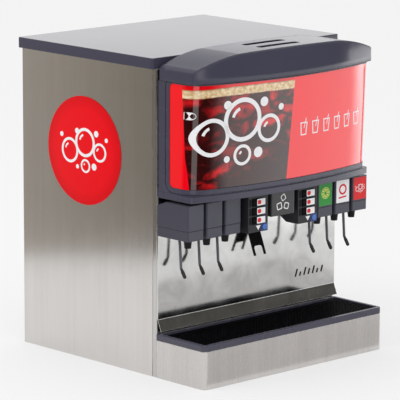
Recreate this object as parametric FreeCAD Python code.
import FreeCAD, Part
import math
import os

# Countertop ice and beverage dispenser, 30 inch class. Millimetres, +Z up, the front faces -Y.
# Everything below is placed with x from the middle of the machine, y backwards from the
# cabinet's front plane and z up from the counter. save() then moves each piece so that the
# origin lies under the middle of the whole machine's box.

V = FreeCAD.Vector
X_AXIS = V(1, 0, 0)
Y_AXIS = V(0, 1, 0)
Z_AXIS = V(0, 0, 1)

# ---- cabinet
WIDTH = 762.0
HALF_W = WIDTH / 2
DEPTH = 617.0
BODY_TOP = 941.0
SHEET = 1.5                 # folded steel sheet
POST = 18.0                 # how far the front panel wraps round each side
POST_IN = 1.0               # how far the posts sit inside the side panels' plane
GAP = 0.3                   # clearance between neighbouring pieces
BASE_FLANGE = 40.0
LEG_X, LEG_Y = 660.0, 520.0  # spacing of the four leg holes
LEG_MID_Y = 308.5
LEG_HOLE_R = 4.76           # 3/8-16 stud

# ---- ice bin
FOAM_IN = 20.0              # foam starts this far behind the front plane
FOAM_SIDE = 376.0           # half width of the foam block
BIN_OUT_X = 352.0           # liner's outer half width
BIN_Y0, BIN_Y1 = 45.0, 592.0
BIN_FLOOR = 356.0
BIN_WALL = 4.0
COLD_PLATE_T = 30.0
COLD_HALF_W = 336.0

# ---- lid
LID_HALF_W = 395.5
LID_Y0, LID_Y1 = 3.0, 622.5
LID_T = 32.5
LID_WALL = 4.0

# ---- merchandiser: bowed sign box on the upper front
SIGN_HALF_W = 376.0
SIGN_BOW_R = 1240.0         # radius of the bow at SIGN_Z1
SIGN_FOOT_R = 1488.0        # and at SIGN_Z0
SIGN_CORNER_R = 62.0
SIGN_Z0, SIGN_Z1 = 554.0, 908.0
BAND_Z1 = 573.0             # top of the trim band round the foot
BAND_PROUD = 1.2
BAND_CORNER_R = 14.0
DISPLAY_Z0, DISPLAY_Z1 = 592.0, 905.0
WINDOW_R = 16.0
GROOVE_OUT = 14.0           # groove round the window
GROOVE_W = 4.0
GROOVE_DEEP = 2.3
DISPLAY_IN = 2.3            # display set back from the frame
DISPLAY_Y = -50.0           # where the display starts on each side
BOW_Y_TOP = -216.0          # front of the bow at SIGN_Z1
SIGN_LEAN = 0.0601          # forward lean per mm of height
SIGN_WALL = 4.0
SIGN_BACK = -2.0
DISPLAY_T = 3.0

BOX_BACK = -106.0           # back of the lamps' reflector tray
LAMP_ZS = (690.0, 820.0)
LAMP_Y = -141.0

# ---- cap over the merchandiser
CAP_HALF_W = 378.0
CAP_BOW_Y = -217.5
CAP_CORNER_R = 14.0
CAP_Z0 = SIGN_Z1 + 1
CAP_LIP_Z = 924.0
CAP_TOP = 991.5
CAP_HIP_X, CAP_HIP_Z = 208.0, 988.5
CAP_END_X, CAP_END_Z = 356.0, 957.0
CAP_CREST_Y = -176.0        # front edge of the flat top
CAP_CREST_R = 4400.0
CAP_BACK = -9.0
CAP_WALL = 3.0
SLOT_LEN, SLOT_W = 168.0, 25.0
SLOT_YS = (-62.0, -125.0)

# ---- drip tray
TRAY_Y0, TRAY_Y1 = -213.0, -2.0
TRAY_HALF_W = 382.5
TRAY_CORNER_R = 16.0
SKIRT_TOP = 116.0
RIM_TOP = 135.0
RIM_W = 12.0
TUB_FLOOR = 40.0
TUB_WALL = 3.0
GRILLE_Z = 122.0
GRILLE_T = 8.0
GRILLE_PITCH = 12.5
GRILLE_BAR = 3.5
GRILLE_EDGE = 8.0
GRILLE_BACK = -24.0         # clears the splash plate's lip when lifted out
DRAIN_R = 12.5
DRAIN_Y = -60.0

# ---- splash plate
SPLASH_Y = -4.5
SPLASH_BEND_Z = 179.0
SPLASH_LIP_Z = 144.0
SPLASH_LIP_Y = -19.0
SPLASH_BEND_R = 3.0
SPLASH_TOP = SIGN_Z0 - 0.5

# ---- dispensing valves
VALVE_XS = (-350.0, -273.5, -197.0, 197.0, 273.5, 350.0)
VALVE_W = 66.0
VALVE_FRONT = -140.0
VALVE_CORNER_R = 5.0
VALVE_Z0, VALVE_Z1 = 438.0, 546.0
VALVE_SEAM = 468.0
VALVE_WALL = 2.5
NOZZLE_Y = -104.0
NOZZLE_Z0 = 411.0
PIVOT_Y, PIVOT_Z = -66.0, 449.0     # lever pivot
PIN_R = 2.5
RUN_FIT = 0.05                      # radial running clearance
LEVER_R = 4.2
GRIP_R = 5.4                        # moulded grip on the bent tip
LEVER_PATH = ((-66.0, 443.0), (-70.0, 415.0), (-75.0, 345.0), (-91.0, 321.0))
LEVER_BEND_R = 14.0
BLOCK_BACK, BLOCK_FRONT = SPLASH_Y - GAP, -38.0
BLOCK_HALF_W = 27.0
BLOCK_Z0 = 452.0

# ---- flavour keypads
PAD_IN, PAD_OUT = 65.0, 147.0       # inner and outer edges from the middle
PAD_FRONT = -153.0
PAD_Z0, PAD_Z1 = 434.0, 546.0
PAD_WALL = 2.5
FACE_T = 3.0
KEY_ROWS = (525.5, 498.0, 470.5)    # middle heights of the three keys
KEY_W, KEY_H = 54.0, 23.0
KEY_OFFSET = 2.0                    # keys' middle from the face's middle
KEY_TRAVEL = 2.0
ROUND_R = 9.5
ROUND_Z = 447.0
ROUND_OFFSET = 27.0
KEY_GAP = 0.4

# ---- ice chute, gate, lever
CHUTE_HALF_W = 41.0
CHUTE_WALL = 3.0
CHUTE_Y0, CHUTE_Y1 = -103.0, -31.0
CHUTE_Z0 = 473.0
CHUTE_TOP = 735.0
CHUTE_LEG_Z = 640.0                 # underside of the level leg from the bin
COVER_HALF_W = 50.0
COVER_Z0 = 472.0
GATE_Y, GATE_Z = -16.0, 727.0        # gate hinge
GATE_PIN_R = 2.5
CRANK = 30.0
PLUNGER_R = 6.0
SOLENOID_Z = 790.0
ICE_PIVOT_Y, ICE_PIVOT_Z = -19.0, 421.0
FORK_LEAN = 22.0
FORK_LEN = 96.0
FORK_W = 50.0
FORK_PRONG = 7.5
FORK_WEB = 66.0

# ---- ice agitator
WHEEL_X, WHEEL_Z = -110.0, 640.0
WHEEL_R = 160.0
SHAFT_R = 7.0
PADDLES = 8

# ---- round badge on the left side
BADGE_R = 168.0
BADGE_Y, BADGE_Z = 326.0, 653.0
BADGE_T = 5.0

# the origin is under the middle of the machine's box
MIDDLE_Y = (CAP_BOW_Y + LID_Y1) / 2


# ---------------------------------------------------------------- helpers
def box(x0, x1, y0, y1, z0, z1):
    return Part.makeBox(x1 - x0, y1 - y0, z1 - z0, V(x0, y0, z0))


def rod(radius, start, end):
    axis = V(*end) - V(*start)
    return Part.makeCylinder(radius, axis.Length, V(*start), axis)


def cone(r0, r1, start, end):
    axis = V(*end) - V(*start)
    return Part.makeCone(r0, r1, axis.Length, V(*start), axis)


def polygon(points):
    return Part.Face(Part.makePolygon([V(*p) for p in points] + [V(*points[0])]))


def side_prism(profile, x0, x1):
    """Extrude a (y, z) outline along X."""
    return polygon([(x0, y, z) for y, z in profile]).extrude(V(x1 - x0, 0, 0))


def fuse(shapes):
    whole = shapes[0].multiFuse(shapes[1:]) if len(shapes) > 1 else shapes[0]
    return whole.removeSplitter()


def cut(shape, tools):
    return shape.cut(Part.makeCompound(tools)).removeSplitter()


def fillet_along(shape, axis, radius, keep):
    """Round the edges that run along an axis and whose middle point passes keep()."""
    edges = []
    for edge in shape.Edges:
        if len(edge.Vertexes) < 2:
            continue
        run = (edge.Vertexes[1].Point - edge.Vertexes[0].Point).normalize()
        if abs(run.dot(axis)) > 0.999 and keep(edge.CenterOfMass):
            edges.append(edge)
    return shape.makeFillet(radius, edges)


def rounded_box(x0, x1, y0, y1, z0, z1, radius, axis=Z_AXIS):
    return fillet_along(box(x0, x1, y0, y1, z0, z1), axis, radius, lambda p: True)


def tray_block(inset, z0, z1):
    """Drip tray outline: square at the back, rounded front corners."""
    half = TRAY_HALF_W - inset
    block = box(-half, half, TRAY_Y0 + inset, TRAY_Y1 - inset, z0, z1)
    radius = max(TRAY_CORNER_R - inset, 4.0)
    return fillet_along(block, Z_AXIS, radius, lambda p: p.y < TRAY_Y0 + inset + 1)


def bent_rod(points, bend_r, radius):
    """Round bar along straight runs joined by tangent arcs."""
    pts = [V(*p) for p in points]
    edges = []
    start = pts[0]
    for before, corner, after in zip(pts, pts[1:], pts[2:]):
        a = (before - corner).normalize()
        b = (after - corner).normalize()
        half = a.getAngle(b) / 2
        back_off = bend_r / math.tan(half)
        mid_dir = (a + b).normalize()
        middle = corner + mid_dir * (bend_r / math.sin(half) - bend_r)
        edges.append(Part.makeLine(start, corner + a * back_off))
        edges.append(Part.Arc(corner + a * back_off, middle, corner + b * back_off).toShape())
        start = corner + b * back_off
    edges.append(Part.makeLine(start, pts[-1]))
    path = Part.Wire(edges)
    ring = Part.Wire([Part.makeCircle(radius, pts[0], pts[1] - pts[0])])
    return path.makePipeShell([ring], True, True)


def save(name, solids):
    shape = Part.makeCompound(solids) if isinstance(solids, (list, tuple)) else solids
    shape = shape.copy()
    shape.translate(V(0, -MIDDLE_Y, 0))
    shape.exportStep(f"parts/{name}.step")


# ---------------------------------------------------------------- merchandiser outline
def bow_y(z):
    return BOW_Y_TOP + (SIGN_Z1 - z) * SIGN_LEAN


def bow_r(z):
    """Radius of the bow: the ends of the foot are less drawn back than those of the top."""
    down = (SIGN_Z1 - z) / (SIGN_Z1 - SIGN_Z0)
    return 1 / ((1 - down) / SIGN_BOW_R + down / SIGN_FOOT_R)


def bow_outline(half_w, bow, radius, corner_r, back, z):
    """Plan of the sign box: straight back and sides, rounded corners, bowed front."""
    bow_mid = bow + radius
    corner_x = half_w - corner_r
    corner_y = bow_mid - math.sqrt((radius - corner_r) ** 2 - corner_x ** 2)
    reach = corner_x / (radius - corner_r)
    touch = V(radius * reach, bow_mid - radius * math.sqrt(1 - reach ** 2), z)
    half_turn = (math.pi / 2 - math.asin(reach)) / 2
    knee = V(corner_x + corner_r * math.cos(half_turn), corner_y - corner_r * math.sin(half_turn), z)

    def mirror(p):
        return V(-p.x, p.y, p.z)

    back_r = V(half_w, back, z)
    side_r = V(half_w, corner_y, z)
    nose = V(0, bow, z)
    edges = [
        Part.makeLine(mirror(back_r), back_r),
        Part.makeLine(back_r, side_r),
        Part.Arc(side_r, knee, touch).toShape(),
        Part.Arc(touch, nose, mirror(touch)).toShape(),
        Part.Arc(mirror(touch), mirror(knee), mirror(side_r)).toShape(),
        Part.makeLine(mirror(side_r), mirror(back_r)),
    ]
    return Part.Wire(edges)


def bow_solid(inset, z0, z1, corner=SIGN_CORNER_R, back=SIGN_BACK):
    half = SIGN_HALF_W - inset
    wires = [bow_outline(half, bow_y(z) + inset, bow_r(z), corner - inset, back, z) for z in (z0, z1)]
    return Part.makeLoft(wires, True, True)


def display_window(grow):
    """Block that cuts the display opening, seen from the side: rounded rear corners."""
    block = box(-500, 500, -400, DISPLAY_Y + grow, DISPLAY_Z0 - grow, DISPLAY_Z1 + grow)
    return fillet_along(block, X_AXIS, WINDOW_R + grow, lambda p: p.y > -300)


# ---------------------------------------------------------------- cabinet
def base_pan():
    edge = HALF_W - POST_IN - SHEET - GAP
    y0, y1 = SHEET + GAP, DEPTH - SHEET - GAP
    pan = box(-edge, edge, y0, y1, 0, BASE_FLANGE)
    inner = box(-edge + 2, edge - 2, y0 + 2, y1 - 2, 2, BASE_FLANGE + 1)
    corners = [(sx * LEG_X / 2, LEG_MID_Y + sy * LEG_Y / 2) for sx in (-1, 1) for sy in (-1, 1)]
    bosses = [rod(14, (x, y, 1), (x, y, 12)) for x, y in corners]
    holes = [rod(LEG_HOLE_R, (x, y, -1), (x, y, 13)) for x, y in corners]
    line_port = rounded_box(-45, 45, 460, 520, -1, 3, 15)
    return cut(fuse([pan.cut(inner)] + bosses), holes + [line_port])


def side_panel(side):
    """Brushed steel side with folded top, bottom and back flanges; side is -1 or +1."""
    x_out = HALF_W
    y0, y1 = POST + GAP, DEPTH
    skin = box(x_out - SHEET, x_out, y0, y1, 0, BODY_TOP)
    top = box(x_out - 14, x_out, y0, y1, BODY_TOP - SHEET, BODY_TOP)
    front = box(x_out - 12, x_out, y0, y0 + SHEET, BASE_FLANGE + 5, BODY_TOP)
    back = box(x_out - 14, x_out, y1 - SHEET, y1, BASE_FLANGE + 5, BODY_TOP)
    panel = fuse([skin, top, front, back])
    panel = fillet_along(panel, Z_AXIS, 1.3, lambda p: p.y < y0 + 0.1 and p.x > x_out - 0.1)
    return panel if side > 0 else panel.mirror(V(0, 0, 0), X_AXIS)


def back_panel():
    """Sheet between the side flanges with louvres low down."""
    half = HALF_W - 14 - GAP
    sheet = box(-half, half, DEPTH - SHEET, DEPTH, 45, BODY_TOP)
    slots = []
    for column in (-1, 1):
        for row in range(8):
            x, z = column * 190, 110 + 18 * row
            slots.append(rounded_box(x - 70, x + 70, DEPTH - 3, DEPTH + 1, z, z + 5, 2.4, Y_AXIS))
    gland_hole = rod(11.2, (260, DEPTH - 3, 90), (260, DEPTH + 1, 90))
    return cut(sheet, slots + [gland_hole])


def front_panel():
    """Grey inner front, wrapped round each side as a post, pierced for ice, shaft and lines."""
    half = HALF_W - POST_IN
    sheet = box(-half, half, 0, SHEET, 0, BODY_TOP)
    posts = [box(s * half - (SHEET if s > 0 else 0), s * half + (0 if s > 0 else SHEET),
                 0, POST, 0, BODY_TOP) for s in (-1, 1)]
    ice_hole = box(-CHUTE_HALF_W - GAP, CHUTE_HALF_W + GAP, -1, 3, CHUTE_LEG_Z - GAP, CHUTE_TOP + GAP)
    shaft_hole = rod(18 + GAP, (WHEEL_X, -1, WHEEL_Z), (WHEEL_X, 3, WHEEL_Z))
    line_holes = [rod(4.0, (x, -1, 495), (x, 3, 495)) for x in VALVE_XS]
    shell = fuse([sheet] + posts)
    shell = fillet_along(shell, Z_AXIS, 3.0, lambda p: p.y < 0.1 and abs(p.x) > half - 0.1)
    return cut(shell, [ice_hole, shaft_hole] + line_holes)


def splash_plate():
    """Polished plate with side returns and a bottom fold that sheds drips into the tray."""
    half = HALF_W - 2
    outer = [(SPLASH_Y, SPLASH_TOP), (SPLASH_Y, SPLASH_BEND_Z), (SPLASH_LIP_Y, SPLASH_LIP_Z),
             (SPLASH_LIP_Y + 1.3, SPLASH_LIP_Z - 0.6), (SPLASH_Y + 1.4, SPLASH_BEND_Z - 0.6),
             (SPLASH_Y + 1.4, SPLASH_TOP)]
    plate = side_prism(outer, -half, half)
    plate = fillet_along(plate, X_AXIS, SPLASH_BEND_R,
                         lambda p: abs(p.y - SPLASH_Y) < 0.1 and abs(p.z - SPLASH_BEND_Z) < 0.1)
    returns = [box(s * half - (1.4 if s > 0 else 0), s * half + (0 if s > 0 else 1.4),
                   SPLASH_Y + 0.5, -GAP, SPLASH_BEND_Z + 2, SPLASH_TOP) for s in (-1, 1)]
    holes = [rod(4.0, (x, SPLASH_Y - 4, 495), (x, SPLASH_Y + 4, 495)) for x in VALVE_XS]
    return cut(fuse([plate] + returns), holes)


# ---------------------------------------------------------------- ice bin
def bin_mouth_blocks(grow):
    return [box(-CHUTE_HALF_W - grow, CHUTE_HALF_W + grow, -5, BIN_Y0 + 10,
                CHUTE_LEG_Z - grow, CHUTE_TOP + grow),
            rod(18 + grow, (WHEEL_X, -5, WHEEL_Z), (WHEEL_X, BIN_Y0 + 10, WHEEL_Z))]


def bin_liner():
    outer = rounded_box(-BIN_OUT_X, BIN_OUT_X, BIN_Y0, BIN_Y1, BIN_FLOOR, BODY_TOP - 2, 28)
    inner = rounded_box(-BIN_OUT_X + BIN_WALL, BIN_OUT_X - BIN_WALL, BIN_Y0 + BIN_WALL,
                        BIN_Y1 - BIN_WALL, BIN_FLOOR + BIN_WALL, BODY_TOP + 1, 24)
    collar = box(-FOAM_SIDE + 12, FOAM_SIDE - 12, FOAM_IN + 2, DEPTH - 5, BODY_TOP - 4, BODY_TOP - GAP)
    holes = bin_mouth_blocks(GAP)
    holes += [rod(3.4, (x, BIN_Y0 - 1, z), (x, BIN_Y0 + 6, z)) for x, z in line_exits()]
    return cut(fuse([outer, collar]), [inner] + holes)


def bin_foam():
    block = box(-FOAM_SIDE, FOAM_SIDE, FOAM_IN, DEPTH - 8, BIN_FLOOR - 32, BODY_TOP - 4 - GAP)
    hollow = rounded_box(-BIN_OUT_X - GAP, BIN_OUT_X + GAP, BIN_Y0 - GAP, BIN_Y1 + GAP,
                         BIN_FLOOR - GAP, BODY_TOP, 28)
    corners = [box(s * (FOAM_SIDE - 10), s * FOAM_SIDE, FOAM_IN - 1, DEPTH, BIN_FLOOR - 40, BODY_TOP)
               if s > 0 else box(-FOAM_SIDE - 1, -FOAM_SIDE + 10, FOAM_IN - 1, DEPTH,
                                 BIN_FLOOR - 40, BODY_TOP) for s in (-1, 1)]
    lines = [rod(3.6, (x, FOAM_IN - 1, z), (x, BIN_Y0 + 1, z)) for x, z in line_exits()]
    return cut(block, [hollow] + corners + bin_mouth_blocks(GAP) + lines)


def cold_plate():
    z0 = BIN_FLOOR + BIN_WALL + GAP
    plate = rounded_box(-COLD_HALF_W, COLD_HALF_W, BIN_Y0 + 16, BIN_Y1 - 16, z0, z0 + COLD_PLATE_T, 20)
    grooves = [box(-COLD_HALF_W + 30, COLD_HALF_W - 30, y, y + 8, z0 + COLD_PLATE_T - 4,
                   z0 + COLD_PLATE_T + 1) for y in range(110, 560, 45)]
    ports = [rod(3.3, (x, BIN_Y0 + 15, z), (x, BIN_Y0 + 30, z)) for x, z in line_exits()]
    return cut(plate, grooves + ports)


def line_exits():
    """(x, z) of the six product lines where they leave the cold plate."""
    return [(0.86 * x, BIN_FLOOR + BIN_WALL + 16) for x in VALVE_XS]


def beverage_lines():
    lines = []
    for (exit_x, exit_z), valve_x in zip(line_exits(), VALVE_XS):
        route = [(exit_x, BIN_Y0 + 29, exit_z), (exit_x, 11, exit_z), (valve_x, 11, 495),
                 (valve_x, BLOCK_BACK - 8, 495)]
        lines.append(bent_rod(route, 8.0, 3.0))
    return lines


# ---------------------------------------------------------------- lid
def lid():
    z0, z1 = BODY_TOP, BODY_TOP + LID_T
    outer = box(-LID_HALF_W, LID_HALF_W, LID_Y0, LID_Y1, z0, z1)
    outer = fillet_along(outer, Z_AXIS, 8.0, lambda p: True)
    rims = [e for e in outer.Edges if abs(e.CenterOfMass.z - z1) < 0.1]
    outer = outer.makeFillet(2.5, rims)
    inner = rounded_box(-LID_HALF_W + LID_WALL, LID_HALF_W - LID_WALL, LID_Y0 + LID_WALL,
                        LID_Y1 - LID_WALL, z0 - 1, z1 - LID_WALL, 5)
    return cut(outer, [inner])


def lid_liner():
    """Inner pan that closes the lid and locates it in the mouth of the bin."""
    z0 = BODY_TOP + GAP
    pan = rounded_box(-LID_HALF_W + LID_WALL + GAP, LID_HALF_W - LID_WALL - GAP,
                      LID_Y0 + LID_WALL + GAP, LID_Y1 - LID_WALL - GAP, z0, z0 + 3, 4.5)
    plug = rounded_box(-BIN_OUT_X + 10, BIN_OUT_X - 10, BIN_Y0 + 12, BIN_Y1 - 12,
                       BODY_TOP - 12, z0 + 1, 20)
    recess = rounded_box(-BIN_OUT_X + 13, BIN_OUT_X - 13, BIN_Y0 + 15, BIN_Y1 - 15,
                         BODY_TOP - 9, z0 + 4, 17)
    return cut(fuse([pan, plug]), [recess])


# ---------------------------------------------------------------- merchandiser
def merch_frame():
    """Moulded frame: band below the display, post each side, floor with a hole for the chute."""
    shell = bow_solid(0, SIGN_Z0, SIGN_Z1)
    shell = shell.cut(bow_solid(SIGN_WALL, SIGN_Z0 - 1, SIGN_Z1 + 1, back=SIGN_BACK + 1))
    floor = bow_solid(1, SIGN_Z0 + 2, SIGN_Z0 + 5)
    chute = box(-CHUTE_HALF_W - 2, CHUTE_HALF_W + 2, -110, 0, SIGN_Z0 - 5, SIGN_Z0 + 10)
    window = display_window(0)
    ledge = bow_solid(SIGN_WALL - 1, DISPLAY_Z0 - 8, DISPLAY_Z0 - 4)
    ledge = ledge.cut(bow_solid(SIGN_WALL + 8, DISPLAY_Z0 - 9, DISPLAY_Z0 - 3, back=SIGN_BACK + 1))
    skin = bow_solid(-2, SIGN_Z0 - 1, SIGN_Z1 + 1)
    skin = skin.cut(bow_solid(GROOVE_DEEP, SIGN_Z0 - 2, SIGN_Z1 + 2, back=SIGN_BACK + 1))
    groove = skin.common(display_window(GROOVE_OUT + GROOVE_W).cut(display_window(GROOVE_OUT)))
    band = bow_solid(-BAND_PROUD, SIGN_Z0, BAND_Z1, BAND_CORNER_R)
    band = band.cut(bow_solid(1.5, SIGN_Z0 - 1, BAND_Z1 + 1, back=SIGN_BACK + 1))
    back = box(-400, 400, SIGN_BACK, 5, SIGN_Z0 - 5, SIGN_Z1 + 5)
    backless = box(-SIGN_HALF_W + 16, SIGN_HALF_W - 16, -14, 5, SIGN_Z0 + 6, SIGN_Z1 + 5)
    frame = fuse([shell, floor, ledge]).cut(groove)
    return cut(fuse([frame, band]), [window, chute, back, backless])


def display_panel():
    """Curved translucent sheet that fills the window from one side round to the other."""
    shell = bow_solid(DISPLAY_IN, DISPLAY_Z0 + GAP, SIGN_Z1 - GAP)
    shell = shell.cut(bow_solid(DISPLAY_IN + DISPLAY_T, DISPLAY_Z0 - 1, SIGN_Z1 + 1, back=SIGN_BACK + 1))
    return shell.common(display_window(-GAP)).removeSplitter()


def cap_solid(inset):
    """Cap's outline: upright lip, front slope up to the crest, low vault with rounded ends."""
    half_w = CAP_HALF_W - inset
    corner = CAP_CORNER_R - inset
    base_z = CAP_Z0 if inset == 0 else CAP_Z0 + CAP_WALL
    back = CAP_BACK - inset
    foot = bow_outline(half_w, CAP_BOW_Y + inset, SIGN_BOW_R, corner, back, base_z)
    lip = bow_outline(half_w, CAP_BOW_Y + inset, SIGN_BOW_R, corner, back, CAP_LIP_Z - inset / 2)
    crest = bow_outline(half_w, CAP_CREST_Y + inset, CAP_CREST_R, corner, back, CAP_TOP + 2)
    lower = Part.makeLoft([foot, lip], True, True)
    upper = Part.makeLoft([lip, crest], True, True)
    hip, end = V(CAP_HIP_X, 0, CAP_HIP_Z), V(CAP_END_X, 0, CAP_END_Z)
    haunch = V(CAP_HIP_X + 84, 0, CAP_HIP_Z - 12.5)
    shoulder = V(CAP_END_X + 16, 0, CAP_END_Z - 7.5)
    brow = V(CAP_END_X + 26, 0, CAP_END_Z - 19)
    floor = V(brow.x, 0, CAP_Z0 - 10)

    def mirror(p):
        return V(-p.x, p.y, p.z)

    arch = [
        Part.Arc(mirror(brow), mirror(shoulder), mirror(end)).toShape(),
        Part.Arc(mirror(end), mirror(haunch), mirror(hip)).toShape(),
        Part.Arc(mirror(hip), V(0, 0, CAP_TOP), hip).toShape(),
        Part.Arc(hip, haunch, end).toShape(),
        Part.Arc(end, shoulder, brow).toShape(),
        Part.makeLine(brow, floor),
        Part.makeLine(floor, mirror(floor)),
        Part.makeLine(mirror(floor), mirror(brow)),
    ]
    vault = Part.Face(Part.Wire(arch)).extrude(V(0, -300, 0))
    vault.translate(V(0, 10, -inset))
    return fuse([lower, upper]).common(vault)


def merch_cap():
    mouth = bow_solid(7, CAP_Z0 - 2, CAP_Z0 + CAP_WALL + 2, back=CAP_BACK - 8)
    slots = [rounded_box(-SLOT_LEN / 2, SLOT_LEN / 2, y - SLOT_W / 2, y + SLOT_W / 2,
                         CAP_TOP - 20, CAP_TOP + 5, 8.0) for y in SLOT_YS]
    return cut(cap_solid(0), [cap_solid(CAP_WALL), mouth] + slots)


def light_box():
    """White reflector tray behind the lamps."""
    tray = box(-330, 330, BOX_BACK - 20, BOX_BACK, 612, 896)
    hollow = box(-328, 328, BOX_BACK - 22, BOX_BACK - 2, 614, 894)
    feet = [box(x - 15, x + 15, BOX_BACK - 0.5, -3, z, z + 2) for x in (-315, 315) for z in (640, 860)]
    return fuse([tray.cut(hollow)] + feet)


def lamp_tubes():
    tubes = []
    for z in LAMP_ZS:
        tube = rod(13, (-285, LAMP_Y, z), (285, LAMP_Y, z))
        caps = [rod(12.2, (s * 285, LAMP_Y, z), (s * 297, LAMP_Y, z)) for s in (-1, 1)]
        tubes.append(fuse([tube] + caps))
    return tubes


def lamp_holders():
    holders = []
    for z in LAMP_ZS:
        for s in (-1, 1):
            near, far = sorted((s * 297.4, s * 312))
            holders.append(box(near, far, LAMP_Y - 16, BOX_BACK - 2 - GAP, z - 17, z + 17))
    return holders


# ---------------------------------------------------------------- drip tray
def tray_skirt():
    outer = tray_block(0, 0, SKIRT_TOP)
    inner = tray_block(SHEET, -1, SKIRT_TOP + 1)
    skirt = outer.cut(inner)
    foot = tray_block(0.5, 0, 2).cut(tray_block(14, -1, 3))
    return fuse([skirt, foot])


def tray_rim():
    """Moulded band round the top of the tray, hooked over the skirt."""
    band = tray_block(0, SKIRT_TOP + GAP, RIM_TOP)
    top = [e for e in band.Edges if abs(e.CenterOfMass.z - RIM_TOP) < 0.1]
    band = band.makeFillet(2.5, top)
    return cut(band, [tray_block(RIM_W, SKIRT_TOP - 1, RIM_TOP + 1)])


def drip_tub():
    outer = tray_block(RIM_W + GAP, TUB_FLOOR, 128)
    inner = tray_block(RIM_W + GAP + TUB_WALL, TUB_FLOOR + TUB_WALL, 130)
    ledge = tray_block(RIM_W + GAP + 1, GRILLE_Z - 4, GRILLE_Z - GAP)
    ledge = ledge.cut(tray_block(RIM_W + GAP + TUB_WALL + 10, GRILLE_Z - 5, GRILLE_Z))
    drain = rod(DRAIN_R + GAP, (0, DRAIN_Y, TUB_FLOOR - 1), (0, DRAIN_Y, TUB_FLOOR + 5))
    return cut(fuse([outer.cut(inner), ledge]), [drain])


def cup_rest():
    """Lift-out grille: a plate pierced by rows of square holes."""
    inset = RIM_W + GAP + TUB_WALL + 1
    outline = tray_block(inset, GRILLE_Z, GRILLE_Z + GRILLE_T)
    outline = outline.cut(box(-HALF_W, HALF_W, GRILLE_BACK, 0, GRILLE_Z - 1, RIM_TOP))
    face = max(outline.Faces, key=lambda f: f.CenterOfMass.z)
    half_x = TRAY_HALF_W - inset - GRILLE_EDGE
    half_y = (GRILLE_BACK - TRAY_Y0 - inset) / 2 - GRILLE_EDGE
    mid_y = (TRAY_Y0 + inset + GRILLE_BACK) / 2
    z = face.CenterOfMass.z
    hole = GRILLE_PITCH - GRILLE_BAR
    holes = []
    for i in range(int(2 * half_x / GRILLE_PITCH)):
        for j in range(int(2 * half_y / GRILLE_PITCH)):
            x = -half_x + i * GRILLE_PITCH
            y = mid_y - half_y + j * GRILLE_PITCH
            corners = [(x, y), (x + hole, y), (x + hole, y + hole), (x, y + hole), (x, y)]
            holes.append(Part.makePolygon([V(a, b, z) for a, b in corners]))
    return Part.Face([face.OuterWire] + holes).extrude(V(0, 0, -GRILLE_T))


def drain_spigot():
    """Flanged spout under the tub: a hose slips over its lower end."""
    flange = rod(21, (0, DRAIN_Y, TUB_FLOOR - 4), (0, DRAIN_Y, TUB_FLOOR - GAP))
    neck = rod(DRAIN_R, (0, DRAIN_Y, TUB_FLOOR - 5), (0, DRAIN_Y, TUB_FLOOR + TUB_WALL - 0.5))
    spout = rod(DRAIN_R, (0, DRAIN_Y, 4), (0, DRAIN_Y, TUB_FLOOR - 3))
    bore = rod(DRAIN_R - 3, (0, DRAIN_Y, 3), (0, DRAIN_Y, TUB_FLOOR + 5))
    return cut(fuse([flange, neck, spout]), [bore])


# ---------------------------------------------------------------- valves
def at_valves(solid):
    solids = []
    for x in VALVE_XS:
        copy = solid.copy()
        copy.translate(V(x, 0, 0))
        solids.append(copy)
    return solids


def valve_profile(inset, z0, z1):
    """Side outline of the cover: upright front, sloping rear top."""
    rear = SPLASH_Y - 0.6
    return [(VALVE_FRONT + inset, z0), (VALVE_FRONT + inset, z1 - inset), (-42 - inset / 4, z1 - inset),
            (rear + inset, z1 - 15 - inset), (rear + inset, z0)]


def valve_cover():
    """Upper shell of a valve, open below."""
    half = VALVE_W / 2
    outer = side_prism(valve_profile(0, VALVE_SEAM + 0.8, VALVE_Z1), -half, half)
    outer = fillet_along(outer, Z_AXIS, VALVE_CORNER_R, lambda p: p.y < VALVE_FRONT + 1)
    inner = side_prism(valve_profile(VALVE_WALL, VALVE_SEAM - 1, VALVE_Z1), -half + VALVE_WALL,
                       half - VALVE_WALL)
    inner = fillet_along(inner, Z_AXIS, VALVE_CORNER_R - 2, lambda p: p.y < VALVE_FRONT + 4)
    return cut(outer, [inner])


def valve_base():
    """Lower body of a valve: nozzle socket in front, lever slot behind it."""
    half = VALVE_W / 2 - 0.6
    block = box(-half, half, VALVE_FRONT + 0.6, SPLASH_Y - 0.6, VALVE_Z0, VALVE_SEAM)
    block = fillet_along(block, Z_AXIS, VALVE_CORNER_R - 0.6, lambda p: p.y < VALVE_FRONT + 2)
    pocket = box(-BLOCK_HALF_W - 0.5, BLOCK_HALF_W + 0.5, BLOCK_FRONT - 0.5, 0,
                 BLOCK_Z0 - 0.5, VALVE_SEAM + 1)
    socket = rod(15, (0, NOZZLE_Y, VALVE_Z0 - 1), (0, NOZZLE_Y, VALVE_Z0 + 14))
    feed = rod(8, (0, NOZZLE_Y, VALVE_Z0), (0, NOZZLE_Y, VALVE_SEAM + 1))
    slot = box(-7, 7, -84, -46, VALVE_Z0 - 1, PIVOT_Z + 9)
    pin = rod(PIN_R, (-20, PIVOT_Y, PIVOT_Z), (20, PIVOT_Y, PIVOT_Z))
    return cut(block, [socket, feed, slot, pin, pocket])


def valve_core():
    """Solenoids and flow controls under the cover."""
    block = box(-24, 24, -118, -42, VALVE_SEAM + 1, VALVE_SEAM + 22)
    coils = [rod(10.5, (x, -72, VALVE_SEAM + 21), (x, -72, VALVE_SEAM + 50)) for x in (-12, 12)]
    flow = [rod(8, (x, -103, VALVE_SEAM + 21), (x, -103, VALVE_SEAM + 42)) for x in (-11, 11)]
    return fuse([block] + coils + flow)


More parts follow.
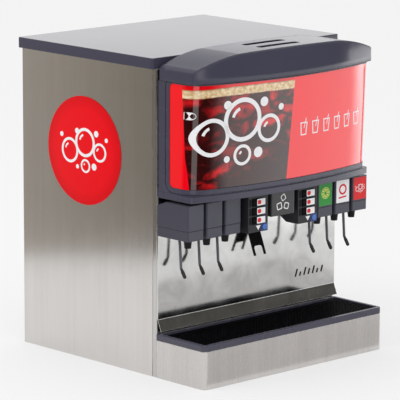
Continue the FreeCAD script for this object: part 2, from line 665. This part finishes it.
def mounting_block():
    """Block between the panel and the valve, with a shut-off screw each side."""
    block = box(-BLOCK_HALF_W, BLOCK_HALF_W, BLOCK_FRONT, BLOCK_BACK, BLOCK_Z0, 520)
    feed = rod(3.3, (0, BLOCK_BACK - 10, 495), (0, BLOCK_BACK + 1, 495))
    return cut(block, [feed])


def nozzle():
    body = cone(13.2, 10.2, (0, NOZZLE_Y, VALVE_Z0 - GAP), (0, NOZZLE_Y, NOZZLE_Z0))
    collar = rod(14.6, (0, NOZZLE_Y, VALVE_Z0 - 1), (0, NOZZLE_Y, VALVE_Z0 + 12))
    bore = cone(9, 7.8, (0, NOZZLE_Y, VALVE_Z0 + 13), (0, NOZZLE_Y, NOZZLE_Z0 - 1))
    return cut(fuse([body, collar]), [bore])


def valve_lever():
    """Bent actuating rod hanging from a cross eye."""
    bar = bent_rod([(0, y, z) for y, z in LEVER_PATH], LEVER_BEND_R, LEVER_R)
    bend, tip_at = V(0, *LEVER_PATH[-2]), V(0, *LEVER_PATH[-1])
    grip_at = bend + (tip_at - bend) * 0.34
    grip = Part.makeCylinder(GRIP_R, (tip_at - grip_at).Length, grip_at, tip_at - grip_at)
    tip = Part.makeSphere(GRIP_R, tip_at)
    eye = rod(6, (-5.5, PIVOT_Y, PIVOT_Z), (5.5, PIVOT_Y, PIVOT_Z))
    bore = rod(PIN_R + RUN_FIT, (-7, PIVOT_Y, PIVOT_Z), (7, PIVOT_Y, PIVOT_Z))
    return cut(fuse([bar, grip, tip, eye]), [bore])


def lever_pin():
    return rod(PIN_R - 0.01, (-19.5, PIVOT_Y, PIVOT_Z), (19.5, PIVOT_Y, PIVOT_Z))


# ---------------------------------------------------------------- flavour keypads
def pad_profile(inset, front):
    return [(front, PAD_Z0 + inset), (front, PAD_Z1 - inset), (SPLASH_Y - GAP, PAD_Z1 - inset),
            (SPLASH_Y - GAP, PAD_Z0 + 20 + inset), (-67 - inset / 2, PAD_Z0 + 20 + inset),
            (-101 - inset / 2, PAD_Z0 + inset)]


def pad_middle(side):
    return side * (PAD_IN + PAD_OUT) / 2


def keypad_housing(side):
    mid, half = pad_middle(side), (PAD_OUT - PAD_IN) / 2
    front = PAD_FRONT + FACE_T + GAP
    outer = side_prism(pad_profile(0, front), mid - half, mid + half)
    inner = side_prism(pad_profile(PAD_WALL, front - 1), mid - half + PAD_WALL, mid + half - PAD_WALL)
    back = box(mid - half, mid + half, SPLASH_Y - GAP - PAD_WALL, SPLASH_Y - GAP, PAD_Z0 + 20, PAD_Z1)
    return fuse([outer.cut(inner), back])


def key_places(side):
    """Middle (x, z) of the three keys on a keypad."""
    return [(pad_middle(side) + KEY_OFFSET, z) for z in KEY_ROWS]


def keypad_face(side):
    mid, half = pad_middle(side), (PAD_OUT - PAD_IN) / 2
    face = box(mid - half, mid + half, PAD_FRONT, PAD_FRONT + FACE_T, PAD_Z0, PAD_Z1)
    face = fillet_along(face, Y_AXIS, 2.0, lambda p: True)
    windows = []
    for x, z in key_places(side):
        w, h = KEY_W / 2 + KEY_GAP, KEY_H / 2 + KEY_GAP
        windows.append(rounded_box(x - w, x + w, PAD_FRONT - 1, PAD_FRONT + 4, z - h, z + h, 2, Y_AXIS))
    x = mid + ROUND_OFFSET
    windows.append(rod(ROUND_R + KEY_GAP, (x, PAD_FRONT - 1, ROUND_Z), (x, PAD_FRONT + 4, ROUND_Z)))
    return cut(face, windows)


def flavour_key(x, z):
    """Rectangular key with a wider flange that holds it behind the face."""
    w, h = KEY_W / 2, KEY_H / 2
    back = PAD_FRONT + FACE_T + GAP
    cap = rounded_box(x - w, x + w, PAD_FRONT - 2.5, back + 1, z - h, z + h, 1.6, Y_AXIS)
    flange = box(x - w - 2, x + w + 2, back, back + 3, z - h - 1, z + h + 1)
    return fuse([cap, flange])


def round_key(side):
    x = pad_middle(side) + ROUND_OFFSET
    back = PAD_FRONT + FACE_T + GAP
    cap = rod(ROUND_R, (x, PAD_FRONT - 2.5, ROUND_Z), (x, back + 1, ROUND_Z))
    rim = [e for e in cap.Edges if abs(e.CenterOfMass.y - (PAD_FRONT - 2.5)) < 0.1]
    cap = cap.makeFillet(1.2, rim)
    flange = rod(ROUND_R + 0.6, (x, back, ROUND_Z), (x, back + 3, ROUND_Z))
    return fuse([cap, flange])


# ---------------------------------------------------------------- ice chute and lever
def chute_block(inset):
    """L-shaped duct: level leg from the bin, then a straight drop."""
    half = CHUTE_HALF_W - inset
    end = 2 if inset else 0
    rear = BIN_Y0 + BIN_WALL + end
    return side_prism([(rear, CHUTE_LEG_Z + inset), (rear, CHUTE_TOP - inset),
                       (CHUTE_Y0 + inset, CHUTE_TOP - inset), (CHUTE_Y0 + inset, CHUTE_Z0 - end),
                       (CHUTE_Y1 - inset, CHUTE_Z0 - end), (CHUTE_Y1 - inset, CHUTE_LEG_Z + inset)],
                      -half, half)


def ice_chute():
    duct = chute_block(0).cut(chute_block(CHUTE_WALL))
    ears = [box(x - 2, x + 2, CHUTE_Y1 - 1, -12, 413, CHUTE_Z0 + 30) for x in (-32, 32)]
    web = box(-34, 34, CHUTE_Y1 - 1, CHUTE_Y1 + 2, ICE_PIVOT_Z + 7, CHUTE_Z0 + 30)
    pin = rod(PIN_R, (-40, ICE_PIVOT_Y, ICE_PIVOT_Z), (40, ICE_PIVOT_Y, ICE_PIVOT_Z))
    hinge = rod(GATE_PIN_R, (-50, GATE_Y, GATE_Z), (50, GATE_Y, GATE_Z))
    crank_slot = box(-6, 6, GATE_Y - CRANK - 18, GATE_Y + 10, CHUTE_TOP - 10, CHUTE_TOP + 1)
    return cut(fuse([duct, web] + ears), [pin, hinge, crank_slot])


def ice_gate():
    """Flap that hangs in the level leg and shuts it; a crank on top passes through the duct's roof."""
    half = CHUTE_HALF_W - CHUTE_WALL - 1.5
    flap = box(-half, half, GATE_Y - 1.5, GATE_Y + 1.5, CHUTE_LEG_Z + CHUTE_WALL + 2, GATE_Z)
    barrel = rod(4.6, (-half, GATE_Y, GATE_Z), (half, GATE_Y, GATE_Z))
    post = box(-3, 3, GATE_Y - 4, GATE_Y + 4, GATE_Z, CHUTE_TOP + 8)
    arm = box(-3, 3, GATE_Y - CRANK - 16, GATE_Y + 4, CHUTE_TOP + 1, CHUTE_TOP + 13.5)
    slot = rounded_box(-4, 4, GATE_Y - CRANK - 12.5, GATE_Y - CRANK + 2.5, CHUTE_TOP + 4.7,
                       CHUTE_TOP + 10.9, 2.9, X_AXIS)
    bore = rod(GATE_PIN_R + RUN_FIT, (-half - 1, GATE_Y, GATE_Z), (half + 1, GATE_Y, GATE_Z))
    return cut(fuse([flap, barrel, post, arm]), [bore, slot])


def gate_pin():
    reach = CHUTE_HALF_W
    return rod(GATE_PIN_R - 0.01, (-reach, GATE_Y, GATE_Z), (reach, GATE_Y, GATE_Z))


def solenoid_plunger():
    """Plunger with a forked foot and the cross pin that lifts the gate's crank."""
    y, z = GATE_Y - CRANK, CHUTE_TOP + 9
    stem = rod(PLUNGER_R, (0, y, z + 16), (0, y, SOLENOID_Z + 30))
    fork = box(-8, 8, y - 4, y + 4, z - 4, z + 18)
    gap = box(-4, 4, y - 5, y + 5, z - 5, z + 12)
    pin = rod(1.5, (-8, y, z), (8, y, z))
    return fuse([stem, fork.cut(gap), pin])


def gate_solenoid():
    y = GATE_Y - CRANK
    body = box(-22, 22, y - 20, -3, SOLENOID_Z, SOLENOID_Z + 55)
    bore = rod(PLUNGER_R + RUN_FIT, (0, y, SOLENOID_Z - 1), (0, y, SOLENOID_Z + 52))
    return cut(body, [bore])


def chute_cover():
    """Front cover of the ice chute, open behind and below."""
    half = COVER_HALF_W
    outer = box(-half, half, PAD_FRONT, -104, COVER_Z0, PAD_Z1)
    outer = fillet_along(outer, Z_AXIS, 4.0, lambda p: p.y < PAD_FRONT + 1)
    inner = box(-half + 2.5, half - 2.5, PAD_FRONT + 2.5, -100, COVER_Z0 - 1, PAD_Z1 - 2.5)
    return cut(outer, [inner])


def ice_lever():
    """Forked lever that leans forward from its pivot behind the chute outlet."""
    half = FORK_W / 2
    top = ICE_PIVOT_Z
    blade = box(-half, half, ICE_PIVOT_Y - 2, ICE_PIVOT_Y + 2, top - FORK_LEN, top)
    notch_half = half - FORK_PRONG
    notch = rounded_box(-notch_half, notch_half, ICE_PIVOT_Y - 5, ICE_PIVOT_Y + 5,
                        top - FORK_LEN - 30, top - FORK_WEB, 8, Y_AXIS)
    blade = blade.cut(notch)
    barrel = rod(5, (-half, ICE_PIVOT_Y, top), (half, ICE_PIVOT_Y, top))
    ribs = [box(x - 1.5, x + 1.5, ICE_PIVOT_Y + 1, ICE_PIVOT_Y + 5, top - 60, top) for x in (-12, 12)]
    lever = fuse([blade, barrel] + ribs)
    lever = lever.cut(rod(PIN_R + RUN_FIT, (-half - 1, ICE_PIVOT_Y, top), (half + 1, ICE_PIVOT_Y, top)))
    lever.rotate(V(0, ICE_PIVOT_Y, top), X_AXIS, -FORK_LEAN)
    return lever.removeSplitter()


def ice_lever_pin():
    return rod(PIN_R - 0.01, (-34, ICE_PIVOT_Y, ICE_PIVOT_Z), (34, ICE_PIVOT_Y, ICE_PIVOT_Z))


def ice_switch():
    """Microswitch above the lever's barrel."""
    return box(-14, 14, CHUTE_Y1 + 2 + GAP, -11, ICE_PIVOT_Z + 9, ICE_PIVOT_Z + 27)


# ---------------------------------------------------------------- agitator
def agitator():
    hub = rod(30, (WHEEL_X, 54, WHEEL_Z), (WHEEL_X, 104, WHEEL_Z))
    shaft = rod(SHAFT_R, (WHEEL_X, -40, WHEEL_Z), (WHEEL_X, 100, WHEEL_Z))
    paddles = []
    for i in range(PADDLES):
        blade = box(WHEEL_X + 25, WHEEL_X + WHEEL_R, 54, 100, WHEEL_Z - 2.5, WHEEL_Z + 2.5)
        blade.rotate(V(WHEEL_X, 0, WHEEL_Z), Y_AXIS, 360.0 * i / PADDLES)
        paddles.append(blade)
    return fuse([hub, shaft] + paddles)


def shaft_bush():
    bush = rod(18, (WHEEL_X, SHEET + GAP, WHEEL_Z), (WHEEL_X, BIN_Y0 + BIN_WALL + 2, WHEEL_Z))
    bore = rod(SHAFT_R + RUN_FIT, (WHEEL_X, 0, WHEEL_Z), (WHEEL_X, 60, WHEEL_Z))
    return cut(bush, [bore])


def agitator_motor():
    """Gearbox with a motor can in front of it."""
    gearbox = rounded_box(WHEEL_X - 55, WHEEL_X + 55, -50, -6, WHEEL_Z - 60, WHEEL_Z + 55, 12, Y_AXIS)
    can = rod(40, (WHEEL_X, -98, WHEEL_Z - 8), (WHEEL_X, -49, WHEEL_Z - 8))
    bore = rod(SHAFT_R + RUN_FIT, (WHEEL_X, -42, WHEEL_Z), (WHEEL_X, -5, WHEEL_Z))
    return cut(fuse([gearbox, can]), [bore])


def motor_bracket():
    plate = rounded_box(WHEEL_X - 62, WHEEL_X + 62, -5.7, -GAP, WHEEL_Z - 68, WHEEL_Z + 68, 6, Y_AXIS)
    hole = rod(18, (WHEEL_X, -7, WHEEL_Z), (WHEEL_X, 1, WHEEL_Z))
    return cut(plate, [hole])


# ---------------------------------------------------------------- electrics, badge, fasteners
def control_box():
    case = box(90, 250, -90, -3, 640, 780)
    fins = [box(100 + 24 * i, 104 + 24 * i, -92, -89, 650, 770) for i in range(7)]
    return cut(case, fins)


def cable_gland():
    """Strain relief where the supply cord would enter at the back."""
    y = DEPTH
    body = rod(11, (260, y - 12, 90), (260, y + 2, 90))
    nut = rod(16, (260, y + GAP, 90), (260, y + 5, 90))
    lock = rod(16, (260, y - SHEET - 5, 90), (260, y - SHEET - GAP, 90))
    bore = rod(5, (260, y - 14, 90), (260, y + 7, 90))
    return cut(fuse([body, nut, lock]), [bore])


def round_badge():
    """Shallow dome stuck to the left side."""
    dome_r = (BADGE_R ** 2 + BADGE_T ** 2) / (2 * BADGE_T)
    edge = 1.5
    x_face = -HALF_W - GAP
    ball = Part.makeSphere(dome_r, V(x_face - edge - BADGE_T + dome_r, BADGE_Y, BADGE_Z))
    disc = rod(BADGE_R, (x_face, BADGE_Y, BADGE_Z), (x_face - edge - BADGE_T - 1, BADGE_Y, BADGE_Z))
    return disc.common(ball)


def screws():
    """Pan-head screws along the edges of the back panel."""
    heads = []
    for x in (-345.0, -115.0, 115.0, 345.0):
        for z in (60.0, 925.0):
            heads.append(rod(4.2, (x, DEPTH + GAP, z), (x, DEPTH + 2.4, z)))
    for x in (-345.0, 345.0):
        for z in (350.0, 640.0):
            heads.append(rod(4.2, (x, DEPTH + GAP, z), (x, DEPTH + 2.4, z)))
    return heads


def main():
    os.makedirs("parts", exist_ok=True)
    for name, make in (
            ("base_pan", base_pan), ("back_panel", back_panel), ("front_panel", front_panel),
            ("splash_plate", splash_plate), ("bin_liner", bin_liner), ("bin_foam", bin_foam),
            ("cold_plate", cold_plate), ("beverage_lines", beverage_lines), ("lid", lid),
            ("lid_liner", lid_liner), ("merch_frame", merch_frame), ("display_panel", display_panel),
            ("merch_cap", merch_cap), ("light_box", light_box), ("lamp_tubes", lamp_tubes),
            ("lamp_holders", lamp_holders), ("tray_skirt", tray_skirt), ("tray_rim", tray_rim),
            ("drip_tub", drip_tub), ("cup_rest", cup_rest), ("drain_spigot", drain_spigot),
            ("ice_chute", ice_chute), ("ice_gate", ice_gate),
            ("solenoid_plunger", solenoid_plunger), ("gate_solenoid", gate_solenoid),
            ("chute_cover", chute_cover), ("ice_lever", ice_lever),
            ("ice_switch", ice_switch), ("agitator", agitator), ("shaft_bush", shaft_bush),
            ("agitator_motor", agitator_motor), ("motor_bracket", motor_bracket),
            ("control_box", control_box), ("cable_gland", cable_gland),
            ("round_badge", round_badge), ("screws", screws)):
        save(name, make())
    save("valve_covers", at_valves(valve_cover()))
    save("valve_bases", at_valves(valve_base()))
    save("valve_cores", at_valves(valve_core()))
    save("mounting_blocks", at_valves(mounting_block()))
    save("nozzles", at_valves(nozzle()))
    save("hinge_pins", at_valves(lever_pin()) + [gate_pin(), ice_lever_pin()])
    save("keypad_housings", [keypad_housing(side) for side in (-1, 1)])
    save("keypad_faces", [keypad_face(side) for side in (-1, 1)])
    for number, lever in enumerate(at_valves(valve_lever()), 1):
        save(f"valve_lever_{number}", lever)
    for word, side in (("left", -1), ("right", 1)):
        save(f"{word}_side_panel", side_panel(side))
        save(f"{word}_round_key", round_key(side))
        for row, (x, z) in enumerate(key_places(side), 1):
            save(f"{word}_key_{row}", flavour_key(x, z))


main()
